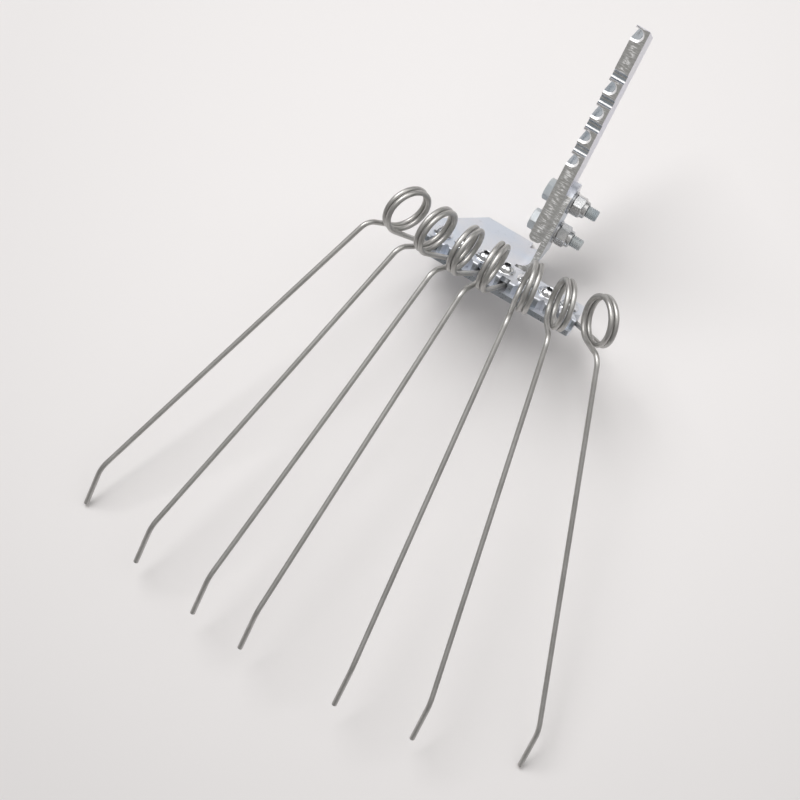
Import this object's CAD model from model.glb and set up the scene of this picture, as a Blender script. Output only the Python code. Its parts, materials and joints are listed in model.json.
import json
from math import asin, atan2, cos, degrees, hypot, pi, radians, sin, sqrt, tan

import bmesh
import bpy
from mathutils import Matrix, Vector

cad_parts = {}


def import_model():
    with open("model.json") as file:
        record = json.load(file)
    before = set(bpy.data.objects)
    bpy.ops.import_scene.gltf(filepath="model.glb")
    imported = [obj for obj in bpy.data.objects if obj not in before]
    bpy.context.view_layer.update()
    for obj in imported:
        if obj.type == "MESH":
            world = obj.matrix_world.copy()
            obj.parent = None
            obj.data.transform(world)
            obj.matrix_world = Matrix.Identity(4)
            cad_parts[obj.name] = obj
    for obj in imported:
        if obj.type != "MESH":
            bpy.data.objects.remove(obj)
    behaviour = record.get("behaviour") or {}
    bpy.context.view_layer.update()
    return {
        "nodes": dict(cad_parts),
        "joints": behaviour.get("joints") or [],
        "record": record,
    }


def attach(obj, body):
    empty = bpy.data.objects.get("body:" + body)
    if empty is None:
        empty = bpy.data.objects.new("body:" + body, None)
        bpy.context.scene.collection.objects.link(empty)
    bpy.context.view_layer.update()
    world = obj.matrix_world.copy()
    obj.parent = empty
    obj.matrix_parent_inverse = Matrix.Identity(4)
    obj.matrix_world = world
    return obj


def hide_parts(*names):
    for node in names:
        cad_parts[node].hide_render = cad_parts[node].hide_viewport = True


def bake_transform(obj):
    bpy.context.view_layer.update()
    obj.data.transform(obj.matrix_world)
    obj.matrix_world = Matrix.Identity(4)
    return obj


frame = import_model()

ROOT = "rake_frame"
MM = 0.001

# ------------------------------------------------------------------ the rake's own axes
joints = frame["joints"]
tine_count = len(joints)
coil_centres = [Vector(j["pos_m"]) for j in joints]
coil_axes = [Vector(j["axis"]).normalized() for j in joints]
mounts = {m["name"]: m for m in frame["record"]["mounts"]}
forward = Vector(mounts["shank_front"]["axis"]).normalized()
upward = coil_axes[-1].cross(coil_axes[0]).normalized()
upward = upward if upward.z > 0 else -upward
across = upward.cross(forward)

# the leaning leg's axes, for the shank and its bolts
leg_upward = Vector(mounts["shank_slide"]["axis"]).normalized()
leg_across = leg_upward.cross(forward).normalized()

# sizes in millimetres and degrees, the same as the CAD's
WIRE = 1.7  # radius of the tine wire
COIL = 15.0  # radius of a coil's centre line
PITCH = 3.8  # between a coil's turns
TURNS = 2  # whole turns in a coil
REACH = 38.0  # from a tine's screw ahead to its coil's axis
HEIGHT = 22.0  # of a coil's axis above the plate
EXIT = 12.0  # rise of the arm where it leaves the coil
EYE = 4.75  # radius of an eye's centre line
EYE_LEVEL = -5.75  # height of an eye's centre line, from the plate's top
FOOT = 9.0  # from a tine's screw ahead to where its leg rises
CLAMP_BOTTOM = -11.5  # height of the clamp strip's underside
SPACING = 15.5  # between the tine screws
BEND = (3.0, 8.0)  # start of the leg's bend across the plate, and its radius
BAR_SIDE = 2.0  # left face of the bar

centre_distance = hypot(REACH - FOOT, HEIGHT - EYE_LEVEL)
centre_angle = degrees(atan2(HEIGHT - EYE_LEVEL, REACH - FOOT))
RISE = centre_angle - degrees(asin(COIL / centre_distance))
LEAD = PITCH / (2 * pi * COIL)
SWEEP = 360 * TURNS + EXIT - RISE
WIDTH = PITCH * SWEEP / 360
SIDE = EYE - LEAD * centre_distance * cos(asin(COIL / centre_distance)) - WIDTH / 2

# the rake's origin: from the first coil's centre back to its screw
side_1 = -coil_axes[0]
ahead_1 = side_1.cross(upward)
screw_1 = coil_centres[0] - (ahead_1 * REACH + side_1 * SIDE + upward * HEIGHT) * MM
origin = screw_1 + across * SPACING * (tine_count // 2) * MM


def world(x, y, z):
    """The place in the shared frame of a point of the rake's own axes, given in millimetres."""
    return origin + (forward * x + across * y + upward * z) * MM


def leg_point(x, y, z):
    """The same for a point of the leg's axes, which lean with it about its bend."""
    turned = forward * x + leg_across * (y - BEND[0]) + leg_upward * (z - BEND[1])
    return world(0, *BEND) + turned * MM


def tine_point(k, x, y, z):
    """The same for a point of tine k's own axes, which start at its screw."""
    side = -coil_axes[k]
    ahead = side.cross(upward)
    screw = coil_centres[k] - (ahead * REACH + side * SIDE + upward * HEIGHT) * MM
    return screw + (ahead * x + side * y + upward * z) * MM


# ------------------------------------------------------------------ materials
def material(name):
    mat = bpy.data.materials.new(name)
    mat.use_nodes = True
    nodes = mat.node_tree.nodes
    nodes.clear()
    out = nodes.new("ShaderNodeOutputMaterial")
    shader = nodes.new("ShaderNodeBsdfPrincipled")
    mat.node_tree.links.new(shader.outputs[0], out.inputs[0])
    return mat, nodes, mat.node_tree.links, shader


def coordinates(nodes, links, scale=(1, 1, 1), kind="Object"):
    """Object or UV coordinates, scaled."""
    source = nodes.new("ShaderNodeTexCoord")
    mapping = nodes.new("ShaderNodeMapping")
    mapping.inputs["Scale"].default_value = scale
    links.new(source.outputs[kind], mapping.inputs["Vector"])
    return mapping.outputs["Vector"]


def noise_node(nodes, links, vector, scale, detail, rough, distortion=0.0):
    tex = nodes.new("ShaderNodeTexNoise")
    tex.inputs["Scale"].default_value = scale
    tex.inputs["Detail"].default_value = detail
    tex.inputs["Roughness"].default_value = rough
    tex.inputs["Distortion"].default_value = distortion
    links.new(vector, tex.inputs["Vector"])
    return tex.outputs["Fac"]


def spread(nodes, links, value, low, high, to_low=0.0, to_high=1.0):
    """Maps low..high to to_low..to_high, clamped."""
    node = nodes.new("ShaderNodeMapRange")
    node.inputs["From Min"].default_value = low
    node.inputs["From Max"].default_value = high
    node.inputs["To Min"].default_value = to_low
    node.inputs["To Max"].default_value = to_high
    links.new(value, node.inputs["Value"])
    return node.outputs["Result"]


def mix_colour(nodes, links, factor, a, b):
    node = nodes.new("ShaderNodeMix")
    node.data_type = "RGBA"
    for value, socket in ((factor, node.inputs[0]), (a, node.inputs[6]), (b, node.inputs[7])):
        if isinstance(value, bpy.types.NodeSocket):
            links.new(value, socket)
        else:
            socket.default_value = value
    return node.outputs[2]


def combine(nodes, links, operation, a, b):
    node = nodes.new("ShaderNodeMath")
    node.operation = operation
    for value, socket in ((a, node.inputs[0]), (b, node.inputs[1])):
        if isinstance(value, bpy.types.NodeSocket):
            links.new(value, socket)
        else:
            socket.default_value = value
    return node.outputs[0]


def bumped(nodes, links, shader, height, strength, distance):
    bump = nodes.new("ShaderNodeBump")
    bump.inputs["Strength"].default_value = strength
    bump.inputs["Distance"].default_value = distance
    links.new(height, bump.inputs["Height"])
    links.new(bump.outputs["Normal"], shader.inputs["Normal"])


def attribute(nodes, name):
    node = nodes.new("ShaderNodeAttribute")
    node.attribute_type = "GEOMETRY"
    node.attribute_name = name
    return node.outputs["Fac"]


WORN_ZINC = (0.90, 0.92, 0.95, 1)
DULL_ZINC = (0.36, 0.36, 0.37, 1)


def zinc(name, base, tint, roughness, grain, metal=1.0):
    """Bright zinc plating: a mottled tint, fine grain, and lighter worn edges."""
    mat, nodes, links, shader = material(name)
    shader.inputs["Metallic"].default_value = metal
    where = coordinates(nodes, links)
    clouds = noise_node(nodes, links, where, 45, 3, 0.5, 0.4)
    fine = noise_node(nodes, links, where, 900, 5, 0.6)
    spots = noise_node(nodes, links, where, 260, 6, 0.7)
    colour = mix_colour(nodes, links, spread(nodes, links, clouds, 0.35, 0.65), base, tint)
    dull = spread(nodes, links, spots, 0.60, 0.74, 0.0, 0.28 * grain)
    colour = mix_colour(nodes, links, dull, colour, DULL_ZINC)
    worn = attribute(nodes, "wear")
    patchy = spread(nodes, links, spots, 0.3, 0.6, 0.35, 0.9)
    rub = combine(nodes, links, "MULTIPLY", worn, patchy)
    colour = mix_colour(nodes, links, rub, colour, WORN_ZINC)
    links.new(colour, shader.inputs["Base Color"])
    rough = spread(nodes, links, fine, 0.3, 0.7, roughness * 0.8, roughness * 1.3)
    rough = combine(nodes, links, "ADD", rough, spread(nodes, links, spots, 0.55, 0.75, 0.0, 0.1))
    links.new(rough, shader.inputs["Roughness"])
    height = combine(nodes, links, "ADD", fine, combine(nodes, links, "MULTIPLY", spots, 1.5))
    bumped(nodes, links, shader, height, 0.28 * grain, 0.00008)
    return mat


# scale of the torn specks along the bar's depth, across it and up it: the smaller, the longer
TORN_SCALE = (1.0, 0.38, 1.7)
# places across the leg and half widths of the two bands of specks, in millimetres
TORN_BANDS = ((6.5, 2.9), (13.0, 1.9))
TORN_CORE = 0.35  # share of a band's half width over which the specks are at full strength


def sheared(name):
    """A sheared steel edge under zinc: grey, streaked, with bright torn specks in two bands."""
    mat, nodes, links, shader = material(name)
    place = coordinates(nodes, links)
    along = []
    for direction, scale in zip((forward, leg_across, leg_upward), TORN_SCALE):
        dot = nodes.new("ShaderNodeVectorMath")
        dot.operation = "DOT_PRODUCT"
        dot.inputs[1].default_value = direction
        links.new(place, dot.inputs[0])
        along.append((dot.outputs["Value"], scale))
    grid = nodes.new("ShaderNodeCombineXYZ")
    for index, (value, scale) in enumerate(along):
        links.new(combine(nodes, links, "MULTIPLY", value, scale), grid.inputs[index])
    torn = noise_node(nodes, links, grid.outputs[0], 760, 3, 0.55, 0.15)
    fine = noise_node(nodes, links, place, 1500, 4, 0.6)
    bands = None
    for y, half in TORN_BANDS:
        level = leg_point(0, y, 0).dot(leg_across)
        off = combine(nodes, links, "SUBTRACT", along[1][0], level)
        off = combine(nodes, links, "ABSOLUTE", off, 0.0)
        band = spread(nodes, links, off, half * TORN_CORE * MM, half * MM, 1.0, 0.0)
        bands = band if bands is None else combine(nodes, links, "MAXIMUM", bands, band)
    bright = combine(nodes, links, "MULTIPLY", spread(nodes, links, torn, 0.535, 0.58), bands)
    streaks = spread(nodes, links, torn, 0.32, 0.62)
    colour = mix_colour(nodes, links, streaks, (0.52, 0.52, 0.50, 1), (0.70, 0.70, 0.69, 1))
    colour = mix_colour(nodes, links, bright, colour, (1.0, 1.0, 1.0, 1))
    links.new(colour, shader.inputs["Base Color"])
    metal = spread(nodes, links, bright, 0.0, 1.0, 0.72, 0.05)
    links.new(metal, shader.inputs["Metallic"])
    links.new(spread(nodes, links, torn, 0.35, 0.65, 0.55, 0.36), shader.inputs["Roughness"])
    height = combine(nodes, links, "ADD", torn, combine(nodes, links, "MULTIPLY", fine, 0.35))
    bumped(nodes, links, shader, height, 0.35, 0.0002)
    return mat


def spring_steel(name):
    """Drawn spring wire: satin, with fine lines along it and faint brown-grey patches."""
    mat, nodes, links, shader = material(name)
    shader.inputs["Metallic"].default_value = 1.0
    lines = noise_node(nodes, links, coordinates(nodes, links, (26, 0.9, 1), "UV"), 3.0, 4, 0.7)
    patch = noise_node(nodes, links, coordinates(nodes, links), 55, 4, 0.6, 0.6)
    fine = noise_node(nodes, links, coordinates(nodes, links), 2200, 4, 0.6)
    patches = spread(nodes, links, patch, 0.34, 0.66)
    colour = mix_colour(nodes, links, patches, (0.50, 0.495, 0.48, 1), (0.61, 0.605, 0.59, 1))
    streak = spread(nodes, links, lines, 0.42, 0.66, 0.0, 0.5)
    colour = mix_colour(nodes, links, streak, colour, (0.34, 0.335, 0.32, 1))
    cut = attribute(nodes, "wear")
    colour = mix_colour(nodes, links, cut, colour, (0.52, 0.43, 0.36, 1))
    links.new(colour, shader.inputs["Base Color"])
    rough = spread(nodes, links, lines, 0.3, 0.7, 0.38, 0.50)
    links.new(rough, shader.inputs["Roughness"])
    height = combine(nodes, links, "ADD", lines, combine(nodes, links, "MULTIPLY", fine, 0.5))
    bumped(nodes, links, shader, height, 0.22, 0.00006)
    return mat


def dark_hollow(name):
    """The oily dark at the bottom of a socket or behind a collar."""
    mat, nodes, links, shader = material(name)
    shader.inputs["Metallic"].default_value = 0.6
    grime = noise_node(nodes, links, coordinates(nodes, links), 900, 4, 0.6)
    colour = mix_colour(nodes, links, grime, (0.035, 0.035, 0.04, 1), (0.12, 0.12, 0.125, 1))
    links.new(colour, shader.inputs["Base Color"])
    links.new(spread(nodes, links, grime, 0.3, 0.7, 0.45, 0.7), shader.inputs["Roughness"])
    bumped(nodes, links, shader, grime, 0.3, 0.0001)
    return mat


plate_zinc = zinc("plate_zinc", (0.72, 0.77, 0.85, 1), (0.79, 0.80, 0.84, 1), 0.38, 0.7, 0.7)
front_zinc = zinc("front_zinc", (0.42, 0.47, 0.52, 1), (0.56, 0.59, 0.63, 1), 0.3, 0.8)
bar_zinc = zinc("bar_zinc", (0.68, 0.68, 0.77, 1), (0.74, 0.74, 0.77, 1), 0.36, 0.6, 0.8)
cut_zinc = zinc("cut_zinc", (0.36, 0.41, 0.45, 1), (0.50, 0.54, 0.58, 1), 0.24, 0.8)
rim_zinc = zinc("rim_zinc", (0.95, 0.95, 0.97, 1), (0.98, 0.98, 0.98, 1), 0.45, 0.4, 0.45)
bolt_zinc = zinc("bolt_zinc", (0.47, 0.52, 0.55, 1), (0.61, 0.63, 0.63, 1), 0.5, 1.0, 0.5)
nut_zinc = zinc("nut_zinc", (0.52, 0.55, 0.58, 1), (0.64, 0.63, 0.62, 1), 0.26, 0.9, 0.95)
screw_zinc = zinc("screw_zinc", (0.70, 0.73, 0.78, 1), (0.80, 0.81, 0.82, 1), 0.17, 0.7)
cut_edge = sheared("cut_edge")
wire_steel = spring_steel("wire_steel")
hollow = dark_hollow("hollow")


# ------------------------------------------------------------------ mesh helpers
def publish(name, mesh, materials, smooth):
    """An object from a mesh, with its materials, shaded smooth across edges flatter than an angle."""
    piece = bpy.data.objects.new(name, mesh)
    bpy.context.scene.collection.objects.link(piece)
    for mat in materials:
        mesh.materials.append(mat)
    bm = bmesh.new()
    bm.from_mesh(mesh)
    for face in bm.faces:
        face.smooth = True
    limit = radians(smooth)
    for edge in bm.edges:
        edge.smooth = not (edge.is_manifold and edge.calc_face_angle(0) > limit)
    bm.to_mesh(mesh)
    bm.free()
    return piece


def mesh_of(name, points, faces):
    mesh = bpy.data.meshes.new(name)
    mesh.from_pydata([tuple(p) for p in points], [], faces)
    mesh.update()
    return mesh


def arc_between(a, b, c, radius, step):
    """Points of the fillet of a radius at corner b, from the run a-b to the run b-c."""
    back = (a - b).normalized()
    on = (c - b).normalized()
    half = back.angle(on) / 2
    reach = radius / tan(half)
    centre = b + (back + on).normalized() * (radius / sin(half))
    first = b + back * reach - centre
    turn = pi - 2 * half
    axis = back.cross(on).normalized()
    count = max(4, int(turn * radius / step))
    return [centre + Matrix.Rotation(-turn * i / count, 3, axis) @ first for i in range(count + 1)]


def run(a, b, step):
    count = max(1, int((b - a).length / step))
    return [a.lerp(b, i / count) for i in range(count)]


def filleted(points, radii, step, arc_step):
    """Evenly stepped points along straight runs joined by fillets."""
    route = []
    last = points[0]
    for i, radius in enumerate(radii):
        arc = arc_between(points[i], points[i + 1], points[i + 2], radius, arc_step)
        route += run(last, arc[0], step) + arc[:-1]
        last = arc[-1]
    return route + run(last, points[-1], step) + [points[-1]]


WIRE_SIDES = 24
WIRE_CHAMFER = 0.25  # share of the wire's radius
EDGE_WORN = 0.5  # wear of a cut end's chamfer, where the cut itself has 1


def wire_mesh(name, route, radius):
    """A round wire along a route, its ends cut square with a small chamfer, unwrapped along it."""
    around = WIRE_SIDES
    bm = bmesh.new()
    uv = bm.loops.layers.uv.new("UVMap")
    wear = bm.faces.layers.float.new("wear")
    directions = []
    for i in range(len(route)):
        directions.append((route[min(i + 1, len(route) - 1)] - route[max(i - 1, 0)]).normalized())
    side = directions[0].orthogonal().normalized()
    rings = []
    lengths = []
    travelled = 0.0
    for i, (point, direction) in enumerate(zip(route, directions)):
        if i:
            turn = directions[i - 1].rotation_difference(direction)
            side = turn @ side
            travelled += (point - route[i - 1]).length
        side = (side - direction * side.dot(direction)).normalized()
        other = direction.cross(side)
        ring = []
        for j in range(around):
            angle = 2 * pi * j / around
            ring.append(bm.verts.new(point + (side * cos(angle) + other * sin(angle)) * radius))
        rings.append(ring)
        lengths.append(travelled)
    girth = 2 * pi * radius

    def skin(a, b, start, end, worn):
        for j in range(around):
            n = (j + 1) % around
            face = bm.faces.new((a[j], a[n], b[n], b[j]))
            face[wear] = worn
            corners = ((j, start), (j + 1, start), (j + 1, end), (j, end))
            for loop, (u, v) in zip(face.loops, corners):
                loop[uv].uv = (u / around, v / girth)

    for i in range(len(rings) - 1):
        skin(rings[i], rings[i + 1], lengths[i], lengths[i + 1], 0.0)
    for end, direction, ring in ((0, -directions[0], rings[0]), (-1, directions[-1], rings[-1])):
        inner = []
        chamfer = radius * WIRE_CHAMFER
        for vert in ring:
            inward = (route[end] - vert.co).normalized()
            inner.append(bm.verts.new(vert.co + inward * chamfer + direction * chamfer * 0.8))
        middle = bm.verts.new(route[end] + direction * chamfer * 0.85)
        at = lengths[end]
        if end == 0:
            skin(inner, ring, at, at + chamfer, EDGE_WORN)
        else:
            skin(ring, inner, at, at + chamfer, EDGE_WORN)
        for j in range(around):
            n = (j + 1) % around
            order = (inner[n], inner[j], middle) if end == 0 else (inner[j], inner[n], middle)
            face = bm.faces.new(order)
            face[wear] = 1.0
            for loop, (u, v) in zip(face.loops, ((j, at), (j + 1, at), (j, at))):
                loop[uv].uv = (u / around, v / girth)
    mesh = bpy.data.meshes.new(name)
    bm.to_mesh(mesh)
    bm.free()
    return mesh


# ------------------------------------------------------------------ tines
# straight runs of an arm in millimetres and how steeply they fall in degrees
FIRST_RUN = 20.0
MAIN_FALL = 55.0
MAIN_RUN = 236.0
TIP_FALL = 85.0
TIP_RUN = 33.0
FOOT_RADIUS = 6.0
ARM_RADII = [9.0, 22.0]
EYE_STEP = 10  # degrees
COIL_STEP = 4.0  # degrees


def heading(rise, lead=0.0):
    return Vector((cos(radians(rise)), -lead, sin(radians(rise)))).normalized()


def coil_place(angle, side):
    return Vector((REACH + COIL * sin(radians(angle)), side, HEIGHT - COIL * cos(radians(angle))))


coil_start = coil_place(RISE, SIDE + WIDTH / 2)
coil_end = coil_place(EXIT, SIDE - WIDTH / 2)
upper_bend = coil_end + heading(EXIT, LEAD) * FIRST_RUN
lower_bend = upper_bend + heading(-MAIN_FALL) * MAIN_RUN
tip = lower_bend + heading(-TIP_FALL) * TIP_RUN

foot_route = [
    Vector((EYE * cos(radians(a)), EYE * sin(radians(a)), EYE_LEVEL))
    for a in range(360, 90, -EYE_STEP)
]
foot_route += filleted(
    [Vector((0, EYE, EYE_LEVEL)), Vector((FOOT, EYE, EYE_LEVEL)), coil_start], [FOOT_RADIUS], 2.5, 0.5
)
turns = int(SWEEP / COIL_STEP)
coil_route = [
    coil_place(RISE + SWEEP * i / turns, SIDE + WIDTH / 2 - WIDTH * i / turns) for i in range(turns)
]
coil_route += filleted([coil_end, upper_bend, lower_bend, tip], ARM_RADII, 3.0, 0.7)

for k in range(tine_count):
    for label, route in (("tine_foot", foot_route), ("tine", coil_route)):
        name = f"{label}_{k + 1}"
        placed = [tine_point(k, *p) for p in route]
        piece = publish(name, wire_mesh(name, placed, WIRE * MM), [wire_steel], 40)
        if label == "tine_foot":
            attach(piece, ROOT)
            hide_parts(f"tine_coil_{k + 1}")
        else:
            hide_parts(f"tine_coil_{k + 1}", f"tine_arm_{k + 1}")
            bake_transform(piece)


# ------------------------------------------------------------------ plate, strip and shank
# just inside the bar's outer faces, in millimetres
BAR_REAR = -36.4
BAR_FRONT = -12.2
BAR_LEFT = 2.4
BAR_RIGHT = 10.6

SHARP = radians(28)  # an edge that bends more than this is rounded
ALIGNED = 0.995  # cosine above which two directions count as one
FACING = 0.8  # cosine above which a face looks ahead or behind
EDGE_SEGMENTS = 3
LONG_EDGE = 3  # millimetres


def rounded_edges(bm, wear, chosen, width, segments):
    """Rounds the chosen sharp edges by a width and marks the new faces as worn."""
    sharp = [e for e in bm.edges if e.is_manifold and e.calc_face_angle(0) > SHARP and chosen(e)]
    done = bmesh.ops.bevel(
        bm,
        geom=sharp,
        offset=width,
        offset_type="OFFSET",
        segments=segments,
        profile=0.5,
        affect="EDGES",
        clamp_overlap=True,
    )
    for face in done["faces"]:
        face[wear] = 1.0


def softened(node, widths, materials, chooser):
    """A copy of a CAD node's mesh, its flat faces made whole and its edges rounded.

    The first width is for long edges along the leg and the second one for all the others.
    """
    bm = bmesh.new()
    bm.from_mesh(frame["nodes"][node].data)
    bmesh.ops.remove_doubles(bm, verts=bm.verts, dist=2e-6)
    bmesh.ops.dissolve_limit(bm, angle_limit=radians(1.0), verts=bm.verts, edges=bm.edges)
    wear = bm.faces.layers.float.new("wear")

    def outer(edge):
        ends = edge.verts[1].co - edge.verts[0].co
        return ends.length > LONG_EDGE * MM and abs(ends.normalized().dot(leg_upward)) > ALIGNED

    def unworn(edge):
        return not any(f[wear] > 0.5 for f in edge.link_faces)

    if widths[0] > widths[1]:
        rounded_edges(bm, wear, outer, widths[0], EDGE_SEGMENTS + 1)
    rounded_edges(bm, wear, unworn, widths[1], EDGE_SEGMENTS)
    bm.normal_update()
    for face in bm.faces:
        face.material_index = chooser(face)
    mesh = bpy.data.meshes.new(node + "_body")
    bm.to_mesh(mesh)
    bm.free()
    for layer in list(mesh.uv_layers):
        mesh.uv_layers.remove(layer)
    piece = publish(node + "_body", mesh, materials, 32)
    weighted = piece.modifiers.new("weighted", "WEIGHTED_NORMAL")
    weighted.keep_sharp = True
    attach(piece, ROOT)
    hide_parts(node)
    return piece


def bar_face(face):
    """The bar's front and rear are sheared, its slots and grooves dark, their rims bright."""
    facing = face.normal.dot(forward)
    if abs(facing) > ALIGNED:
        return 1
    if 0.6 < facing < 0.8:
        return 2
    inside = (face.calc_center_median() - leg_point(0, 0, 0)) / MM
    x, y = inside.dot(forward), inside.dot(leg_across)
    within = BAR_REAR < x < BAR_FRONT and BAR_LEFT < y < BAR_RIGHT
    return 3 if within and facing > -0.1 else 0


def leg_face(face):
    """The edges of the leg and of the plate behind the screws are sheared; the folded lip isn't."""
    if abs(face.normal.dot(forward)) < FACING:
        return 0
    return 1 if (face.calc_center_median() - origin).dot(forward) < 0 else 2


def strip_face(face):
    """The strip's front and rear edges are sheared."""
    return 1 if abs(face.normal.dot(forward)) > FACING else 0


bar_materials = [bar_zinc, cut_edge, rim_zinc, cut_zinc]
leg_materials = [plate_zinc, cut_edge, front_zinc]
shank = softened("shank", (0.7 * MM, 0.22 * MM), bar_materials, bar_face)
plate = softened("rake_plate", (0.6 * MM, 0.4 * MM), leg_materials, leg_face)
strip = softened("clamp_strip", (0.4 * MM, 0.4 * MM), [plate_zinc, front_zinc], strip_face)


# ------------------------------------------------------------------ fasteners
def lathe_grid(name, centre, out, radial, rows, count, materials, slots=None, closed=True):
    """A skin over rows of (radius at an angle, height) functions round an axis."""
    other = out.cross(radial)
    points = []
    for row in rows:
        for j in range(count):
            angle = 2 * pi * j / count
            r, h = row(angle)
            arm = radial * cos(angle) + other * sin(angle)
            points.append(centre + arm * r * MM + out * h * MM)
    faces = []
    for i in range(len(rows) - 1):
        for j in range(count):
            n = (j + 1) % count
            faces.append((i * count + j, i * count + n, (i + 1) * count + n, (i + 1) * count + j))
    if closed:
        points += [
            centre + out * rows[0](0)[1] * MM,
            centre + out * rows[-1](0)[1] * MM,
        ]
        low, high, top = len(points) - 2, len(points) - 1, (len(rows) - 1) * count
        for j in range(count):
            n = (j + 1) % count
            faces.append((n, j, low))
            faces.append((top + j, top + n, high))
    mesh = mesh_of(name, points, faces)
    if slots:
        for index, polygon in enumerate(mesh.polygons):
            polygon.material_index = slots(index // count)
    piece = publish(name, mesh, materials, 30)
    wear = mesh.attributes.new("wear", "FLOAT", "FACE")
    wear.data.foreach_set("value", [0.0] * len(mesh.polygons))
    return piece


BLUNT = 0.985  # of a hexagon's corner radius
SEAT = 0.95  # radius of a hexagon's turned end, as a share of half its width
CHAMFER_SLOPE = tan(radians(30))


def hexagon(width):
    """Radius of a hexagon across its flats, its corners slightly blunted."""
    blunt = width / 2 / cos(radians(30)) * BLUNT

    def radius(angle):
        inside = (angle + pi / 6) % (pi / 3) - pi / 6
        return min(width / 2 / cos(inside), blunt)

    return radius


def hex_rows(width, high, both=False, bore=0.0):
    """Rows of a hexagonal prism from its seat up, chamfered at its top or at both ends."""
    corner = hexagon(width)
    turned = width / 2 * SEAT

    def cut(angle):
        return max(corner(angle) - turned, 0) * CHAMFER_SLOPE

    rows = [lambda a: (bore or 0.01, 0.0)]
    if both:
        rows.append(lambda a: (turned, 0.0))
        rows.append(lambda a: (corner(a), cut(a)))
    else:
        rows.append(lambda a: (corner(a) * BLUNT, 0.0))
        rows.append(lambda a: (corner(a), 0.12))
    rows.append(lambda a: (corner(a), high - cut(a) - 0.02))
    rows.append(lambda a: (corner(a) * 0.993, high - cut(a) + 0.04))
    rows.append(lambda a: (turned, high))
    rows.append(lambda a: (bore or width / 2 * 0.45, high))
    return rows


THREAD_DEPTH = 0.5  # of the pitch
THREAD_FLAT = 0.12  # flat at the crest and at the root, as a share of half a pitch
THREAD_STEPS = 8  # rows in a pitch
THREAD_SIDES = 36


def threaded(name, centre, out, radial, radius, pitch, low, high, materials):
    """A threaded rod: ridges that wind along it, fading into a chamfered end."""
    depth = pitch * THREAD_DEPTH
    steps = int((high - low) / pitch * THREAD_STEPS)

    def row(i):
        h = low + (high - low) * i / steps

        def at(angle):
            phase = (h / pitch - angle / (2 * pi)) % 1.0
            ridge = abs(phase * 2 - 1)
            ridge = min(max((ridge - THREAD_FLAT) / (1 - 2 * THREAD_FLAT), 0), 1)
            end = min(max((high - h) / (pitch * 0.9), 0.0), 1.0)
            crest = radius - (1 - end) * depth * 1.1
            return min(radius - depth * (1 - ridge), crest), h

        return at

    rows = [row(i) for i in range(steps + 1)]
    return lathe_grid(name, centre, out, radial, rows, THREAD_SIDES, materials)


DARK_BANDS = 3


def profile(pairs):
    return [lambda a, p=p: p for p in pairs]


def dark_end(rows):
    """Gives the second material to the last bands of rows and to the fans that close the ends."""
    return lambda band: 1 if band >= len(rows) - DARK_BANDS else 0


def fit(piece, node):
    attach(piece, ROOT)
    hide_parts(node)


# shank bolts: heads on the left, washers and lock nuts on the leg's right
LEG_RIGHT = 15.0
BOLT_X = -24.5
BOLT_HEIGHTS = (28.5, 52.5)
BOLT_END = 31.6
BOLT_FLATS = 13.0
BOLT_HEAD = 5.3
BOLT_RADIUS = 3.98
BOLT_PITCH = 1.25
THREAD_START = 0.2
WASHER = 1.6  # thickness
NUT_HEX = 6.7  # height of the lock nut's hexagon, below its collar
NUT_BORE = 4.06
BOLT_SIDES = 96
RING_SIDES = 72
# turns of the heads and of the nuts about their axes, in degrees
BOLT_TURNS = (14, 37)
NUT_TURNS = (25, 8)
# radius and height at each corner of a washer's section and of a lock nut's collar
WASHER_RING = [(4.2, 0.1), (4.3, 0.0), (7.85, 0.0), (8.0, 0.2), (8.0, 1.35)]
WASHER_RING += [(7.8, WASHER), (4.4, WASHER), (4.2, 1.5)]
COLLAR = [(6.15, 6.85), (5.72, 6.95), (5.7, 7.3), (5.7, 8.6)]
COLLAR += [(5.5, 9.2), (5.1, 9.5), (4.75, 9.4), (4.6, 8.9)]
for i, height in enumerate(BOLT_HEIGHTS):
    n = i + 1
    left = leg_point(BOLT_X, BAR_SIDE, height)
    right = leg_point(BOLT_X, LEG_RIGHT, height)
    turned = Matrix.Rotation(radians(BOLT_TURNS[i]), 3, leg_across) @ forward
    head = lathe_grid(
        f"bolt_head_{n}", left, -leg_across, turned, hex_rows(BOLT_FLATS, BOLT_HEAD),
        BOLT_SIDES, [bolt_zinc],
    )
    fit(head, "shank_bolts")
    body = threaded(
        f"bolt_thread_{n}", left, leg_across, turned, BOLT_RADIUS, BOLT_PITCH,
        THREAD_START, BOLT_END, [bolt_zinc],
    )
    fit(body, "shank_bolts")
    washer = lathe_grid(
        f"washer_{n}", right, leg_across, forward, profile(WASHER_RING + WASHER_RING[:1]),
        RING_SIDES, [nut_zinc], closed=False,
    )
    fit(washer, "shank_washers")
    spun = Matrix.Rotation(radians(NUT_TURNS[i]), 3, leg_across) @ forward
    seat = right + leg_across * WASHER * MM
    rows = hex_rows(BOLT_FLATS, NUT_HEX, True, NUT_BORE)[:-2]
    rows += profile(COLLAR)
    rows += profile([(NUT_BORE, 8.8), (NUT_BORE, 0.0)])
    nut = lathe_grid(
        f"lock_nut_{n}", seat, leg_across, spun, rows, BOLT_SIDES, [nut_zinc, hollow],
        slots=dark_end(rows), closed=False,
    )
    fit(nut, "shank_nuts")

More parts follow.
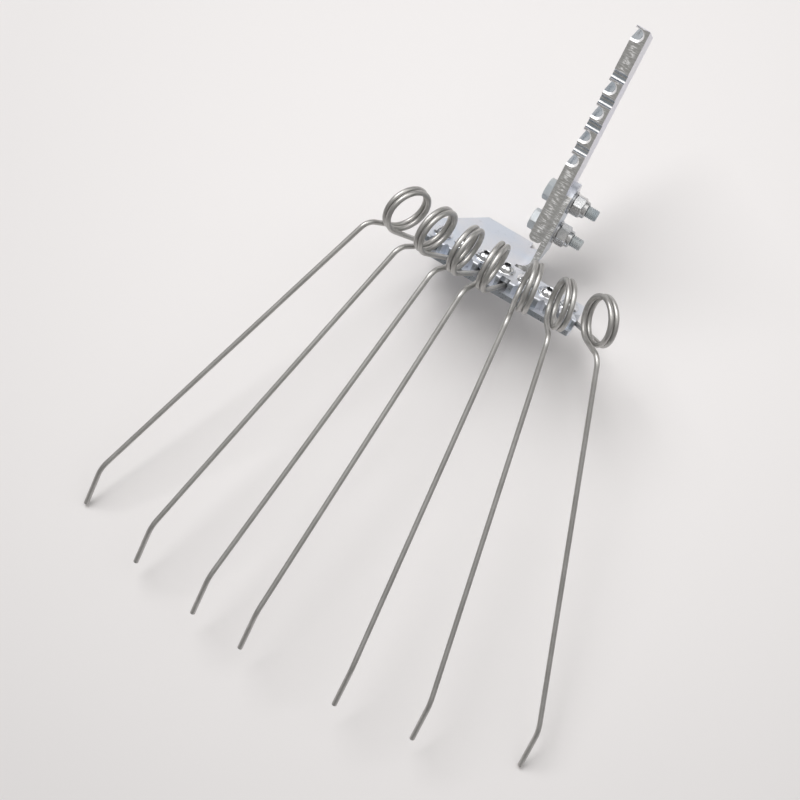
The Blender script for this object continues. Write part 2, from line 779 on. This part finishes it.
# tine screws: flanged domed heads with a hexagon socket, nuts under the strip
SCREW_END = -18.3
SCREW_RADIUS = 2.98
SCREW_PITCH = 1.0
SMALL_FLATS = 10.0
SMALL_NUT = 5.0
SMALL_BORE = 3.06
SOCKET_FLATS = 4.0
SOCKET_RIM = 2.5  # radius at which the dome meets the socket
SOCKET_WALL = 1.9
SOCKET_DEPTH = 2.3
DOME_TOP = 4.7
DOME_RISE = 3.4
DOME_HALF = 5.25  # half width of the dome at its foot
SCREW_TURNS = (10, 33, 52, 5, 26, 44, 18)
FLANGE = [(3.0, 0.0), (6.5, 0.0), (6.75, 0.15), (6.72, 0.75), (6.35, 1.1), (5.5, 1.32)]
DOME_RADII = (5.2, 5.0, 4.5, 4.0, 3.5, 3.0, 2.75)
socket = hexagon(SOCKET_FLATS)
crown = (DOME_HALF**2 + DOME_RISE**2) / (2 * DOME_RISE)


def dome(r):
    """Height of the dome at a radius."""
    return DOME_TOP - crown + sqrt(crown**2 - r**2)


rim = dome(SOCKET_RIM)
screw_rows = profile(FLANGE + [(r, dome(r)) for r in DOME_RADII])
screw_rows += [
    lambda a: (socket(a) * 1.1, rim + 0.02),
    lambda a: (socket(a) * 1.0, rim - 0.12),
    lambda a: (socket(a) * 0.98, rim - SOCKET_WALL),
    lambda a: (0.4, rim - SOCKET_DEPTH),
]
small_nut_rows = hex_rows(SMALL_FLATS, SMALL_NUT, True, SMALL_BORE)
small_nut_rows += profile([(SMALL_BORE, 4.9), (SMALL_BORE, 0.0)])
for k in range(tine_count):
    n = k + 1
    place = world(0, SPACING * (k - tine_count // 2), 0)
    spun = Matrix.Rotation(radians(SCREW_TURNS[k]), 3, upward) @ forward
    screw = lathe_grid(
        f"screw_head_{n}", place, upward, spun, screw_rows, RING_SIDES, [screw_zinc, hollow],
        slots=dark_end(screw_rows),
    )
    fit(screw, "tine_screws")
    thread = threaded(
        f"screw_thread_{n}", place, -upward, spun, SCREW_RADIUS, SCREW_PITCH,
        THREAD_START, -SCREW_END, [screw_zinc],
    )
    fit(thread, "tine_screws")
    under = place + upward * CLAMP_BOTTOM * MM
    nut = lathe_grid(
        f"small_nut_{n}", under, -upward, spun, small_nut_rows, RING_SIDES, [nut_zinc], closed=False
    )
    fit(nut, "tine_nuts")


# ------------------------------------------------------------------ floor, light and camera
FLOOR_HALF = 3.0
FADE_FROM = 0.09
FADE_TO = 0.38
FADE = 0.11


def plain_floor():
    """A pale floor that darkens a little away from the object."""
    mat, nodes, links, shader = material("floor_paper")
    where = coordinates(nodes, links)
    cloud = noise_node(nodes, links, where, 1.5, 2, 0.5)
    colour = mix_colour(nodes, links, cloud, (0.865, 0.85, 0.85, 1), (0.895, 0.88, 0.88, 1))
    distance = nodes.new("ShaderNodeVectorMath")
    distance.operation = "LENGTH"
    links.new(where, distance.inputs[0])
    fade = spread(nodes, links, distance.outputs["Value"], FADE_FROM, FADE_TO, 0.0, FADE)
    colour = mix_colour(nodes, links, fade, colour, (0.0, 0.0, 0.0, 1))
    links.new(colour, shader.inputs["Base Color"])
    shader.inputs["Roughness"].default_value = 0.75
    shader.inputs["Specular IOR Level"].default_value = 0.2
    corners = [(x * FLOOR_HALF, y * FLOOR_HALF, 0) for x, y in ((-1, -1), (1, -1), (1, 1), (-1, 1))]
    mesh = mesh_of("floor", corners, [(0, 1, 2, 3)])
    mesh.materials.append(mat)
    floor = bpy.data.objects.new("floor", mesh)
    bpy.context.scene.collection.objects.link(floor)


plain_floor()


def soft_light(name, at, towards, size, watts, colour):
    light = bpy.data.lights.new(name, "AREA")
    light.shape = "SQUARE"
    light.size = size
    light.energy = watts
    light.color = colour
    lamp = bpy.data.objects.new(name, light)
    lamp.location = at
    lamp.rotation_euler = (Vector(towards) - Vector(at)).to_track_quat("-Z", "Y").to_euler()
    bpy.context.scene.collection.objects.link(lamp)


# lights in metres and watts
KEY_DISTANCE = 3.0
KEY_SIZE = 1.6
KEY_WATTS = 60
FILL_SIZE = 1.2
FILL_WATTS = 4.4
middle = Vector((0.0, 0.0, 0.03))
key_place = middle + Vector((-0.463, 0.39, 0.795)).normalized() * KEY_DISTANCE
fill_place = middle + Vector((0.55, 0.75, 1.1))
soft_light("key", key_place, middle, KEY_SIZE, KEY_WATTS, (1.0, 0.99, 0.985))
soft_light("fill", fill_place, middle, FILL_SIZE, FILL_WATTS, (1.0, 0.99, 0.98))

ROOM_STRENGTH = 0.52
# the room's light from below and from straight above, brightening with height up to a point
ROOM_LOW = (0.17, 0.166, 0.162, 1)
ROOM_HIGH = (0.87, 0.855, 0.84, 1)
ROOM_FULL = 0.75
room = bpy.data.worlds.new("room")
bpy.context.scene.world = room
room.use_nodes = True
nodes, links = room.node_tree.nodes, room.node_tree.links
nodes.clear()
surround = nodes.new("ShaderNodeBackground")
exit_node = nodes.new("ShaderNodeOutputWorld")
links.new(surround.outputs[0], exit_node.inputs[0])
direction = nodes.new("ShaderNodeTexCoord")
parts = nodes.new("ShaderNodeSeparateXYZ")
links.new(direction.outputs["Generated"], parts.inputs[0])
ramp = nodes.new("ShaderNodeValToRGB")
links.new(parts.outputs["Z"], ramp.inputs[0])
ramp.color_ramp.elements[0].position = 0.0
ramp.color_ramp.elements[0].color = ROOM_LOW
ramp.color_ramp.elements[1].position = ROOM_FULL
ramp.color_ramp.elements[1].color = ROOM_HIGH
links.new(ramp.outputs[0], surround.inputs[0])
surround.inputs["Strength"].default_value = ROOM_STRENGTH

eye = Vector((0.09465, -0.11301, 1.03973))
target = Vector((-0.01628, -0.03359, 0.04))
above = Vector((-0.49955, 0.85747, 0.12356))
back = (eye - target).normalized()
right = above.cross(back).normalized()
turn = Matrix((right, back.cross(right), back)).transposed()
lens = bpy.data.cameras.new("camera")
lens.lens = 72.0
lens.sensor_width = 36.0
lens.clip_start = 0.01
camera = bpy.data.objects.new("camera", lens)
camera.matrix_world = Matrix.Translation(eye) @ turn.to_4x4()
bpy.context.scene.collection.objects.link(camera)
bpy.context.scene.camera = camera
bpy.context.scene.view_settings.view_transform = "Standard"
